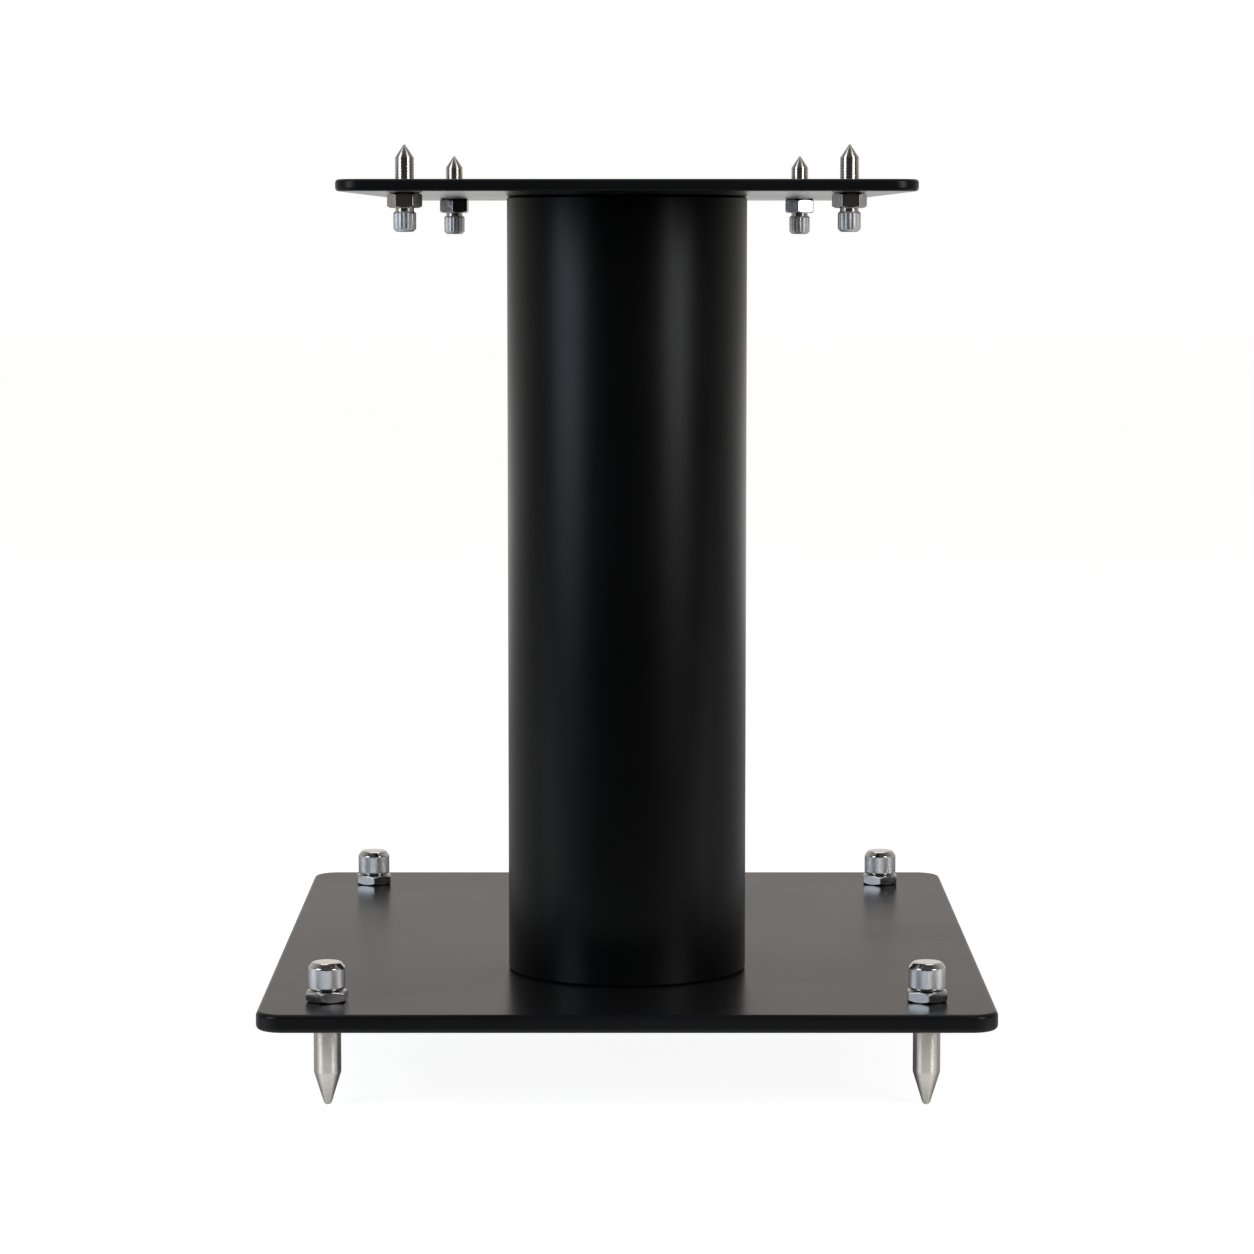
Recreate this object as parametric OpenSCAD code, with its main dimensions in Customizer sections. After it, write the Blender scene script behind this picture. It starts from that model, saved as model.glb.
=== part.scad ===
// A free-standing speaker stand. A thick base plate stands on four floor spikes that are set
// from above by knurled knobs. One round steel column carries a thinner top plate, and four
// pointed screws through that plate carry the cabinet. Sizes are in millimetres.
// X runs to the right as the front is seen, Y runs to the back and Z is up. The origin lies on
// the floor, below the middle of the stand's outer box.

/* [Base plate] */
// Width of the base plate along its front edge
base_front_w = 320; // [280:1:420]
// Width of the base plate along its back edge
base_back_w = 328; // [280:1:420]
// How far the base plate reaches ahead of the column's axis
base_front_reach = 117; // [100:1:180]
// How far the base plate reaches behind the column's axis
base_back_reach = 274; // [180:1:340]
// Thickness of the base plate
base_t = 8; // [6:0.5:15]
// Radius of the base plate's corners, seen from above
base_corner_r = 12; // [6:0.5:25]
// Radius of the rounding along the base plate's edges
base_edge_r = 2; // [0.5:0.1:2.5]
// Height of the base plate's underside above the floor
base_clearance = 38; // [30:0.5:60]

/* [Column] */
// Outer diameter of the column
column_d = 108; // [90:1:140]
// Wall of the column's tube
column_wall = 3; // [2:0.25:5]
// Length of the column, from plate to plate
column_len = 350.5; // [200:0.5:700]
// Bevel on the ends of the tube, which leaves a thin seam at each plate
column_bevel = 0.9; // [0.3:0.1:1.5]
// Thickness of the flange that is welded inside each end of the tube
flange_t = 10; // [8:0.5:16]
// Diameter of the hole in the middle of each flange
flange_hole_d = 36; // [10:1:44]

/* [Top plate] */
// Width of the top plate along its front edge
top_front_w = 243; // [220:1:320]
// Width of the top plate along its back edge
top_back_w = 212; // [200:1:320]
// Depth of the top plate, which is centred on the column
top_depth = 303; // [240:1:360]
// Thickness of the top plate
top_t = 5; // [4:0.5:10]
// Radius of the top plate's corners, seen from above
top_corner_r = 12; // [6:0.5:25]
// Radius of the rounding along the top plate's edges
top_edge_r = 1.5; // [0.5:0.1:1.8]

/* [Plate screws] */
// Thread diameter of the countersunk screws that hold the plates to the flanges
screw_d = 6; // [5:0.5:8]
// Diameter of a screw's countersunk head
screw_head_d = 12; // [10:0.5:13]
// Diameter of the circle that the four screws of one plate lie on
screw_circle_d = 72; // [64:1:76]
// Width across flats of the key socket in a screw's head
screw_key_w = 4; // [2.5:0.5:5]
// Depth of the key socket
screw_key_depth = 2.3; // [1:0.1:3]

/* [Floor spikes] */
// Thread diameter of the floor spikes
floor_thread_d = 10; // [8:1:11]
// Diameter of the plain shank below the base plate
floor_shank_d = 12; // [12:0.5:16]
// Height of the cone at the foot of a floor spike
floor_cone_h = 14.8; // [8:0.1:20]
// Radius of the rounded point of a floor spike
floor_tip_r = 1.9; // [0.5:0.1:2.5]
// How far a floor spike can be drawn up from its lowest setting
floor_travel = 4.5; // [1.5:0.5:8]
// Distance of the front floor spikes from the base plate's front corners, measured along its front edge
floor_front_side = 29; // [22:0.5:60]
// Distance of the rear floor spikes from the base plate's back corners, measured along its back edge
floor_back_side = 33; // [22:0.5:60]
// Distance of the front floor spikes from the base plate's front edge
floor_front_inset = 33.5; // [20:0.5:60]
// Distance of the rear floor spikes from the base plate's back edge
floor_back_inset = 38; // [20:0.5:60]

/* [Floor spike nuts and knobs] */
// Width across flats of a floor spike's lock nut
floor_nut_w = 17; // [15:0.5:20]
// Height of a floor spike's lock nut
floor_nut_h = 5; // [4:0.5:8]
// Diameter of a floor spike's knob
knob_d = 16; // [14:0.5:20]
// Height of a knob
knob_h = 12; // [9:0.5:16]
// Height of the bevel round a knob's top
knob_bevel_h = 2.2; // [1:0.1:2.6]
// Width of the bevel round a knob's top
knob_bevel_w = 1.8; // [0.5:0.1:2]
// Width and height of the bevel round a knob's foot
knob_foot_bevel = 0.6; // [0.2:0.1:1]
// Thickness of metal over the blind hole in a knob
knob_crown_t = 3; // [2.5:0.5:5]

/* [Top spikes] */
// Thread diameter of the top spikes
top_thread_d = 8; // [6:0.5:9]
// How far a top spike's point stands above the top plate
top_point_h = 15.4; // [8:0.1:25]
// Height of the cone at a top spike's point
top_cone_h = 5.6; // [4:0.1:7.5]
// Radius of the rounded point of a top spike
top_tip_r = 0.5; // [0.2:0.1:1]
// Distance of the front top spikes from the top plate's front corners, measured along its front edge
top_front_side = 27.3; // [20:0.1:40]
// Distance of the rear top spikes from the top plate's back corners, measured along its back edge
top_back_side = 23.9; // [20:0.1:36]
// Distance of the top spikes from the top plate's front and back edges
top_end_inset = 49; // [20:0.5:60]

/* [Top spike nuts and heads] */
// Width across flats of a top spike's lock nut
top_nut_w = 13; // [12:0.5:17]
// Height of a top spike's lock nut
top_nut_h = 6.5; // [4:0.5:8]
// Diameter of the fluted head of a top spike
head_d = 9.8; // [9.5:0.1:14]
// Height of the fluted head
head_h = 8.6; // [6:0.1:14]
// Bare thread between the lock nut and the head
head_gap = 1.4; // [0.6:0.1:6]
// Number of flutes round the head
flute_count = 22; // [12:1:28]
// Radius of one flute
flute_r = 0.5; // [0.3:0.05:0.6]
// Depth of one flute
flute_depth = 0.35; // [0.2:0.05:0.5]
// Bevel on the lower edge of the head
head_bevel = 1.3; // [0.5:0.1:2]
// Bevel on the upper edge of the head
head_shoulder_bevel = 0.7; // [0.2:0.1:1]

/* [Fits] */
// Gap all round a thread in its hole
thread_gap = 0.05; // [0.02:0.01:0.1]
// Gap all round a flange in the tube and a screw's head in its seat
seat_gap = 0.05; // [0.02:0.01:0.1]
// Gap between a knob and the nut below it, and above the end of a floor spike
face_gap = 0.3; // [0.1:0.05:0.5]
// Slope of the bevels on the nuts, measured from the nut's face
nut_bevel_angle = 45; // [20:1:50]
// Share of a nut's width across flats that its round end faces take
nut_face_share = 0.94; // [0.88:0.01:0.98]
// Bevel on the ends of threads
thread_bevel = 0.8; // [0.3:0.1:1.2]

/* [Hidden] */
$fn = 96;
corner_steps = 48;
edge_steps = 24;
cut = 1;
half = 0.5;
// How far a hexagon's corners reach, for each millimetre from its middle to its flats
hex_reach = 1 / cos(30);

// Each corner is a name, its side, its end, and the turn of its floor nut and of its top nut
LEFT = -1;
RIGHT = 1;
FRONT = 0;
REAR = 1;
CORNERS = [
    ["front_left", LEFT, FRONT, 22, 1],
    ["front_right", RIGHT, FRONT, 31, 3],
    ["rear_left", LEFT, REAR, 34, 26],
    ["rear_right", RIGHT, REAR, 27, 23],
];
FIXED_NODES = [
    "base_plate",
    "top_plate",
    "column_tube",
    "column_bottom_flange",
    "column_top_flange",
    "base_plate_screws",
    "top_plate_screws",
];
CORNER_KINDS = ["floor_spike", "floor_lock_nut", "floor_knob", "top_spike", "top_lock_nut"];

// Levels above the floor
base_top_z = base_clearance + base_t;
column_top_z = base_top_z + column_len;
top_face_z = column_top_z + top_t;

// The column's place, which puts the middle of the outer box at the origin
front_reach = max(base_front_reach, top_depth * half);
back_reach = max(base_back_reach, top_depth * half);
column_y = (front_reach - back_reach) * half;
base_front_y = column_y - base_front_reach;
base_back_y = column_y + base_back_reach;
top_front_y = column_y - top_depth * half;
top_back_y = column_y + top_depth * half;

// The column and what is welded and screwed to it
column_r = column_d * half;
column_bore_r = column_r - column_wall;
screw_r = screw_d * half;
screw_head_r = screw_head_d * half;
// How far a plate screw's end stays inside its flange
screw_end_gap = 1;
screw_turns = [45, 135, 225, 315];

// Floor spikes, from the point up
floor_thread_r = floor_thread_d * half;
floor_shank_r = floor_shank_d * half;
floor_shoulder_z = base_clearance - floor_travel - face_gap;
floor_nut_top_z = base_top_z + floor_nut_h;
knob_z = floor_nut_top_z + face_gap;
knob_hole_depth = knob_h - knob_crown_t;
floor_thread_top_z = knob_z + knob_hole_depth - face_gap;

// Top spikes, from the nut down and up
top_thread_r = top_thread_d * half;
top_nut_z = column_top_z - top_nut_h;
head_top_z = top_nut_z - head_gap;
head_z = head_top_z - head_h;
top_point_z = top_face_z + top_point_h;
head_r = head_d * half;

// Where the floor spike and the top spike of a corner stand
function floor_place(corner) = corner[2] == FRONT
    ? [corner[1] * (base_front_w * half - floor_front_side), base_front_y + floor_front_inset]
    : [corner[1] * (base_back_w * half - floor_back_side), base_back_y - floor_back_inset];
function top_place(corner) = corner[2] == FRONT
    ? [corner[1] * (top_front_w * half - top_front_side), top_front_y + top_end_inset]
    : [corner[1] * (top_back_w * half - top_back_side), top_back_y - top_end_inset];
floor_places = [for (corner = CORNERS) floor_place(corner)];
top_places = [for (corner = CORNERS) top_place(corner)];

// Half the angle of a cone of radius r and height h that runs into a rounded point of radius tip_r
function half_angle(r, h, tip_r) = acos(tip_r / norm([r, h - tip_r])) - atan2(h - tip_r, r);

// Corner centres of a plate, clockwise from the front right. The sides may lean, so that the
// front and back edges differ, and each corner is still tangent to both of its edges.
function side_lean(front_w, back_w, depth) = atan((back_w - front_w) * half / depth);
function corner_centres(front_w, back_w, front_y, back_y, r) =
    let (lean = side_lean(front_w, back_w, back_y - front_y))
    let (front_x = front_w * half + r * tan(lean) - r / cos(lean))
    let (back_x = back_w * half - r * tan(lean) - r / cos(lean))
    [
        [front_x, front_y + r],
        [-front_x, front_y + r],
        [-back_x, back_y - r],
        [back_x, back_y - r],
    ];

// A disc of radius r and thickness t whose two edges are rounded
module soft_disc(r, t, edge_r) {
    rotate_extrude($fn = corner_steps) {
        square([r - edge_r, t]);
        translate([0, edge_r]) square([r, t - 2 * edge_r]);
        translate([r - edge_r, edge_r]) circle(edge_r, $fn = edge_steps);
        translate([r - edge_r, t - edge_r]) circle(edge_r, $fn = edge_steps);
    }
}

// A flat plate with rounded corners and soft edges, drawn round a disc at each corner centre
module soft_plate(centres, r, t, edge_r) {
    hull()
        for (centre = centres)
            translate([centre[0], centre[1], 0]) soft_disc(r, t, edge_r);
}

// The four screw places round the column's axis
module at_screws() {
    for (turn = screw_turns)
        translate([0, column_y, 0])
            rotate([0, 0, turn])
                translate([screw_circle_d * half, 0, 0])
                    children();
}

// A countersunk screw with its head's face at the origin and its thread pointing down
module plate_screw(length) {
    sink_h = screw_head_r - screw_r;
    difference() {
        union() {
            translate([0, 0, -sink_h]) cylinder(h = sink_h, r1 = screw_r, r2 = screw_head_r);
            translate([0, 0, thread_bevel - length]) cylinder(h = length - thread_bevel - sink_h, r = screw_r);
            translate([0, 0, -length])
                cylinder(h = thread_bevel, r1 = screw_r - thread_bevel, r2 = screw_r);
        }
        translate([0, 0, -screw_key_depth])
            cylinder(h = screw_key_depth + cut, r = screw_key_w * half * hex_reach, $fn = 6);
    }
}

// The hole that such a screw needs in a plate of thickness t, with its seat at the top
module screw_hole(t) {
    seat_r = screw_head_r + seat_gap;
    seat_h = screw_head_r - screw_r;
    translate([0, 0, -t - cut]) cylinder(h = t + 2 * cut, r = screw_r + seat_gap);
    translate([0, 0, -seat_h]) cylinder(h = seat_h, r1 = screw_r + seat_gap, r2 = seat_r);
    cylinder(h = cut, r = seat_r);
}

// A hexagon nut with its foot at the origin and both ends bevelled to a round face
module lock_nut(width, height, hole_r) {
    face_r = width * half * nut_face_share;
    corner_r = width * half * hex_reach;
    rim_r = min(corner_r + cut, face_r + height * half / tan(nut_bevel_angle));
    bevel_h = (rim_r - face_r) * tan(nut_bevel_angle);
    difference() {
        intersection() {
            cylinder(h = height, r = corner_r, $fn = 6);
            rotate_extrude()
                polygon([
                    [0, 0],
                    [face_r, 0],
                    [rim_r, bevel_h],
                    [rim_r, height - bevel_h],
                    [face_r, height],
                    [0, height],
                ]);
        }
        translate([0, 0, -cut]) cylinder(h = height + 2 * cut, r = hole_r);
    }
}

// Outline of a turned point: it starts at [0, 0], widens to radius r at height h and runs on
// at that radius up to height top
module point_outline(r, h, tip_r, top) {
    lean = half_angle(r, h, tip_r);
    touch = [tip_r * cos(lean), tip_r * (1 - sin(lean))];
    polygon([[0, touch[1]], touch, [r, h], [r, top], [0, top]]);
    intersection() {
        translate([0, tip_r]) circle(tip_r);
        square([tip_r, tip_r]);
    }
}

module base_plate() {
    color("#1c1c1e")
    difference() {
        translate([0, 0, base_clearance])
            soft_plate(
                corner_centres(base_front_w, base_back_w, base_front_y, base_back_y, base_corner_r),
                base_corner_r, base_t, base_edge_r);
        for (place = floor_places)
            translate([place[0], place[1], base_clearance - cut])
                cylinder(h = base_t + 2 * cut, r = floor_thread_r + thread_gap);
        at_screws()
            translate([0, 0, base_clearance]) mirror([0, 0, 1]) screw_hole(base_t);
    }
}

module top_plate() {
    color("#1c1c1e")
    difference() {
        translate([0, 0, column_top_z])
            soft_plate(
                corner_centres(top_front_w, top_back_w, top_front_y, top_back_y, top_corner_r),
                top_corner_r, top_t, top_edge_r);
        for (place = top_places)
            translate([place[0], place[1], column_top_z - cut])
                cylinder(h = top_t + 2 * cut, r = top_thread_r + thread_gap);
        at_screws()
            translate([0, 0, top_face_z]) screw_hole(top_t);
    }
}

module column_tube() {
    color("#18181a")
    translate([0, column_y, base_top_z])
        rotate_extrude()
            polygon([
                [column_bore_r, 0],
                [column_r - column_bevel, 0],
                [column_r, column_bevel],
                [column_r, column_len - column_bevel],
                [column_r - column_bevel, column_len],
                [column_bore_r, column_len],
            ]);
}

// A flange with its foot at height z, welded inside the tube and tapped for the plate's screws
module column_flange(z) {
    color("#3a3a3c")
    difference() {
        translate([0, column_y, z])
            difference() {
                cylinder(h = flange_t, r = column_bore_r - seat_gap);
                translate([0, 0, -cut]) cylinder(h = flange_t + 2 * cut, r = flange_hole_d * half);
            }
        at_screws()
            translate([0, 0, z - cut]) cylinder(h = flange_t + 2 * cut, r = screw_r + seat_gap);
    }
}

module base_plate_screws() {
    color("#2b2b2d")
    at_screws()
        translate([0, 0, base_clearance])
            mirror([0, 0, 1]) plate_screw(base_t + flange_t - screw_end_gap);
}

module top_plate_screws() {
    color("#2b2b2d")
    at_screws()
        translate([0, 0, top_face_z]) plate_screw(top_t + flange_t - screw_end_gap);
}

// A floor spike: a rounded point, a plain shank and a thread that runs up into the knob
module floor_spike(corner) {
    place = floor_place(corner);
    color("#b9b7b3")
    translate([place[0], place[1], 0])
        rotate_extrude() {
            point_outline(floor_shank_r, floor_cone_h, floor_tip_r, floor_shoulder_z);
            polygon([
                [0, floor_cone_h],
                [floor_thread_r, floor_cone_h],
                [floor_thread_r, floor_thread_top_z - thread_bevel],
                [floor_thread_r - thread_bevel, floor_thread_top_z],
                [0, floor_thread_top_z],
            ]);
        }
}

module floor_lock_nut(corner) {
    place = floor_place(corner);
    color("#8f8f95")
    translate([place[0], place[1], base_top_z])
        rotate([0, 0, corner[3]])
            lock_nut(floor_nut_w, floor_nut_h, floor_thread_r + thread_gap);
}

// A knob with a broad bevel round its top and a blind hole for the floor spike's thread
module floor_knob(corner) {
    place = floor_place(corner);
    knob_r = knob_d * half;
    hole_r = floor_thread_r + thread_gap;
    color("#c9c9cc")
    translate([place[0], place[1], knob_z])
        rotate_extrude()
            polygon([
                [hole_r, 0],
                [knob_r - knob_foot_bevel, 0],
                [knob_r, knob_foot_bevel],
                [knob_r, knob_h - knob_bevel_h],
                [knob_r - knob_bevel_w, knob_h],
                [0, knob_h],
                [0, knob_hole_depth],
                [hole_r, knob_hole_depth],
            ]);
}

// A top spike, one turned piece: its point, its thread and a fluted head for the fingers
module top_spike(corner) {
    place = top_place(corner);
    color("#b9b7b3")
    translate([place[0], place[1], 0])
        difference() {
            rotate_extrude() {
                translate([0, top_point_z])
                    mirror([0, 1])
                        point_outline(top_thread_r, top_cone_h, top_tip_r, top_point_z - head_z - head_bevel);
                translate([0, head_z]) head_outline();
            }
            translate([0, 0, head_z - cut]) flutes(head_h + 2 * cut);
        }
}

module head_outline() {
    polygon([
        [0, 0],
        [head_r - head_bevel, 0],
        [head_r, head_bevel],
        [head_r, head_h - head_shoulder_bevel],
        [head_r - head_shoulder_bevel, head_h],
        [0, head_h],
    ]);
}

// The round cuts that leave the flutes of the head
module flutes(length) {
    for (i = [0 : flute_count - 1])
        rotate([0, 0, i * 360 / flute_count])
            translate([head_r - flute_depth + flute_r, 0, 0]) cylinder(h = length, r = flute_r);
}

module top_lock_nut(corner) {
    place = top_place(corner);
    color("#8f8f95")
    translate([place[0], place[1], top_nut_z])
        rotate([0, 0, corner[4]])
            lock_nut(top_nut_w, top_nut_h, top_thread_r + thread_gap);
}

base_plate();
top_plate();
column_tube();
column_flange(base_top_z);  // column_bottom_flange
column_flange(column_top_z - flange_t);  // column_top_flange
base_plate_screws();
top_plate_screws();
for (corner = CORNERS) {
    floor_spike(corner);
    floor_lock_nut(corner);
    floor_knob(corner);
    top_spike(corner);
    top_lock_nut(corner);
}
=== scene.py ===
# %% [markdown]
# # A low speaker stand in satin black steel
#
# The real stand is a heavy base plate on four floor spikes, one wide round column and a thinner
# top plate that carries a small speaker on four pointed screws. This notebook dresses the packed
# frame of that stand: the frame says where each piece is and how large, and each cell below builds
# one kind of piece with the shape and finish of the real one.

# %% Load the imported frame
import math

import bmesh
import bpy
from mathutils import Matrix, Vector


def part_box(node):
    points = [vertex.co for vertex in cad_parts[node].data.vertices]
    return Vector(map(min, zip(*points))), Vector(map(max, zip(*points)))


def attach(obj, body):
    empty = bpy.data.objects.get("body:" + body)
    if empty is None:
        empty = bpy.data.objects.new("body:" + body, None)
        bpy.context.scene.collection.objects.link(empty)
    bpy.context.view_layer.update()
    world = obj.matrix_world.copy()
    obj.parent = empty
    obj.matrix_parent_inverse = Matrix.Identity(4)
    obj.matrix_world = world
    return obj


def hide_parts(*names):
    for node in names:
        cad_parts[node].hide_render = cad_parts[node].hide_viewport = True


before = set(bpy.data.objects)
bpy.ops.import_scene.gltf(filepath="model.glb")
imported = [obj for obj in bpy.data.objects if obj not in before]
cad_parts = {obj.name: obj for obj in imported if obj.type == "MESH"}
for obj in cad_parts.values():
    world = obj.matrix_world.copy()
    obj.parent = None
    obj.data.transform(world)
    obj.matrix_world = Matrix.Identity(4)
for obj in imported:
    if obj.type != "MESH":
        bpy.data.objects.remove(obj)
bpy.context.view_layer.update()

MM = 0.001
CORNERS = ["front_left", "front_right", "rear_left", "rear_right"]


def middle_of(node):
    """The point on the floor below the middle of a node."""
    low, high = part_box(node)
    return Vector(((low.x + high.x) / 2, (low.y + high.y) / 2, 0))


def levels_of(node):
    """Lowest and highest level of a node."""
    low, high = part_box(node)
    return low.z, high.z


def radius_of(node):
    """Largest radius of a round node."""
    low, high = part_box(node)
    return (high.x - low.x) / 2


COLUMN_AXIS = middle_of("column_tube")
print("nodes:", len(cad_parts), "column axis at y =", round(COLUMN_AXIS.y / MM, 2), "mm")

# %% [markdown]
# ## One way to make round things
#
# Nearly every piece of this stand comes off a lathe: the tube, the spikes, the knobs, and even the
# nuts and screws begin as round bar. A screw modifier could sweep an outline round, but it can't cut
# threads, flutes or flats. So one helper stretches a skin over rings of points, and a ring may be a
# function of the angle. That is enough for a hexagon, a thread or a knurl, and leaves clean quads.

# %% Stretch a skin over rings


def skin(name, rings, steps, closed=False, diamonds=()):
    """Joins rings of points round the Z axis. A ring is (radius, height) or a function of the angle.

    Radius 0 is a single point on the axis. In the rows that diamonds names, the faces fold along
    opposite corners in turn, so that raised and sunken points make small pyramids.
    """
    form = bmesh.new()
    rows = []
    for ring in rings:
        if not callable(ring) and ring[0] == 0:
            rows.append([form.verts.new((0, 0, ring[1]))])
            continue
        row = []
        for step in range(steps):
            angle = math.tau * step / steps
            radius, height = ring(angle) if callable(ring) else ring
            row.append(form.verts.new((radius * math.cos(angle), radius * math.sin(angle), height)))
        rows.append(row)
    pairs = list(zip(rows, rows[1:]))
    if closed:
        pairs.append((rows[-1], rows[0]))
    for number, (below, above) in enumerate(pairs):
        for step in range(steps):
            after = (step + 1) % steps
            if len(below) == 1:
                form.faces.new((below[0], above[after], above[step]))
            elif len(above) == 1:
                form.faces.new((below[step], below[after], above[0]))
            elif number in diamonds and (number + step) % 2 == 0:
                form.faces.new((below[step], below[after], above[after]))
                form.faces.new((below[step], above[after], above[step]))
            elif number in diamonds:
                form.faces.new((below[step], below[after], above[step]))
                form.faces.new((below[after], above[after], above[step]))
            else:
                form.faces.new((below[step], below[after], above[after], above[step]))
    bmesh.ops.recalc_face_normals(form, faces=form.faces)
    mesh = bpy.data.meshes.new(name)
    form.to_mesh(mesh)
    form.free()
    return mesh


print("the skin helper is ready")

# %% [markdown]
# A file or a deburring wheel takes the sharpness off every turned corner. On an outline that is a
# small curve which starts a little before the corner and ends a little after it. The same cell holds
# what every piece needs once it has its mesh: shading, copies, and its place on the frame.

# %% Soften, shade, copy and place
SHARE_OF_SIDE = 0.45


def softened(outline, reach, steps=4):
    """An outline whose corners, apart from its ends, are rounded.

    The curve starts this far before and after each corner, or nearer on a short side.
    """
    points = [Vector(point) for point in outline]
    soft = [points[0]]
    for before, corner, after in zip(points, points[1:], points[2:]):
        length_in = min(reach, (before - corner).length * SHARE_OF_SIDE)
        length_out = min(reach, (after - corner).length * SHARE_OF_SIDE)
        start = corner + (before - corner).normalized() * length_in
        end = corner + (after - corner).normalized() * length_out
        for step in range(steps + 1):
            share = step / steps
            soft.append(start.lerp(corner, share).lerp(corner.lerp(end, share), share))
    soft.append(points[-1])
    return [tuple(point) for point in soft]


def shade(mesh, sharp_degrees=40):
    """Smooth shading that still breaks at edges sharper than this."""
    mesh.shade_smooth()
    mesh.set_sharp_from_angle(angle=math.radians(sharp_degrees))
    return mesh


def gathered(name, mesh, placings):
    """One mesh that holds a copy of a mesh at each placing."""
    whole = bmesh.new()
    for placing in placings:
        before = len(whole.verts)
        whole.from_mesh(mesh)
        whole.verts.ensure_lookup_table()
        bmesh.ops.transform(whole, matrix=placing, verts=whole.verts[before:])
    made = bpy.data.meshes.new(name)
    whole.to_mesh(made)
    whole.free()
    return made


def place_piece(name, mesh, material, node, body, place=(0, 0, 0), turn=0.0):
    """Puts a mesh where its node is, gives it a finish and lets it ride on the node's body."""
    piece = bpy.data.objects.new(name, mesh)
    bpy.context.scene.collection.objects.link(piece)
    piece.location = place
    piece.rotation_euler.z = turn
    if not mesh.materials:
        mesh.materials.append(material)
    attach(piece, body)
    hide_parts(node)
    return piece


print("the helpers for pieces are ready")

# %% [markdown]
# ## Node materials in few words
#
# Every finish below is built from the same steps: a pattern that lies in the piece's own space, a
# colour and a roughness that follow the pattern, and a bump. These helpers keep each finish down to
# the lines that say what is special about it.

# %% Helpers for finishes


def new_finish(name, **settings):
    """A material with its shader and its coordinates. Settings go on the shader's own sockets."""
    finish = bpy.data.materials.new(name)
    finish.use_nodes = True
    shader = finish.node_tree.nodes["Principled BSDF"]
    for socket, value in settings.items():
        shader.inputs[socket.replace("_", " ")].default_value = value
    coords = finish.node_tree.nodes.new("ShaderNodeTexCoord")
    return finish, finish.node_tree, shader, coords.outputs["Object"]


def stretched(tree, coords, scale):
    """Coordinates that are scaled along each axis, so that a pattern becomes lines."""
    mapping = tree.nodes.new("ShaderNodeMapping")
    mapping.inputs["Scale"].default_value = scale
    tree.links.new(coords, mapping.inputs["Vector"])
    return mapping.outputs["Vector"]


def noise(tree, coords, scale, detail=3.0):
    """A noise pattern between 0 and 1."""
    pattern = tree.nodes.new("ShaderNodeTexNoise")
    pattern.inputs["Scale"].default_value = scale
    pattern.inputs["Detail"].default_value = detail
    tree.links.new(coords, pattern.inputs["Vector"])
    return pattern.outputs["Fac"]


def lines(tree, coords, scale):
    """Fine lines: noise in stretched coordinates, so its own scale is 1."""
    return noise(tree, stretched(tree, coords, scale), scale=1.0, detail=2.0)


def spread(tree, value, start, end, low, high):
    """A level that runs from low to high while a value runs from its start to its end."""
    scale = tree.nodes.new("ShaderNodeMapRange")
    for socket, number in zip(("From Min", "From Max", "To Min", "To Max"), (start, end, low, high)):
        scale.inputs[socket].default_value = number
    tree.links.new(value, scale.inputs["Value"])
    return scale.outputs["Result"]


def stepped(tree, value, stops, tint=(1, 1, 1)):
    """Levels that run from stop to stop, each stop a place between 0 and 1 and a level."""
    ramp = tree.nodes.new("ShaderNodeValToRGB")
    while len(ramp.color_ramp.elements) < len(stops):
        ramp.color_ramp.elements.new(0.5)
    for element, (place, level) in zip(ramp.color_ramp.elements, stops):
        element.position = place
        element.color = (*(level * part for part in tint), 1)
    tree.links.new(value, ramp.inputs["Fac"])
    return ramp.outputs["Color"]


print("the node helpers are ready")

# %% [markdown]
# A noise pattern rarely reaches 0 or 1, so the colour and the roughness run over its middle part.

# %% Colour, gloss and bump
COLOUR_PART = (0.35, 0.65)
GLOSS_PART = (0.3, 0.7)


def colour(tree, shader, pattern, darker, lighter):
    """Colours the surface with two colours that blend along a pattern."""
    ramp = tree.nodes.new("ShaderNodeValToRGB")
    for element, place, shown in zip(ramp.color_ramp.elements, COLOUR_PART, (darker, lighter)):
        element.position = place
        element.color = (*shown, 1)
    tree.links.new(pattern, ramp.inputs["Fac"])
    tree.links.new(ramp.outputs["Color"], shader.inputs["Base Color"])


def gloss(tree, shader, pattern, smoothest, roughest):
    """Lets the roughness follow a pattern between two values."""
    tree.links.new(spread(tree, pattern, *GLOSS_PART, smoothest, roughest), shader.inputs["Roughness"])


def bump(tree, shader, pattern, strength, depth):
    """Lets a pattern stand out of the surface by this depth."""
    relief = tree.nodes.new("ShaderNodeBump")
    relief.inputs["Strength"].default_value = strength
    relief.inputs["Distance"].default_value = depth
    tree.links.new(pattern, relief.inputs["Height"])
    tree.links.new(relief.outputs["Normal"], shader.inputs["Normal"])


print("noise is used from", GLOSS_PART[0], "to", GLOSS_PART[1])

# %% [markdown]
# ## Satin black powder coat
#
# The column and both plates are powder coated: polyester powder, melted into a thin skin. Seen
# straight on it is nearly black and gives back lamps as soft stripes. Seen at a low angle, as the
# base plate is here, it mirrors the pale room behind and turns grey. Both come from the shader's own
# reflection at a moderate roughness. A real coat has an index of refraction of about 1.5. It is lower
# here, which keeps the column as black as in the photograph. The fine grain is the powder's, and the
# broad waves are where the skin is a little thicker. One coat could serve all three pieces, but the
# powder flows out better on a flat plate than on a tube, so the plates' coat is smoother. The plates'
# coat is also three times as light in colour as the tube's. That is painted light: it lifts the dark
# edges of the plates, though the colour of the coat is the same on all three pieces.

# %% The two black coats
COAT_BLUE = 1.06
THIN_SKIN = 1.35
WAVE_SCALE = 14.0
POWDER_SCALE = 1500.0


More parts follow.
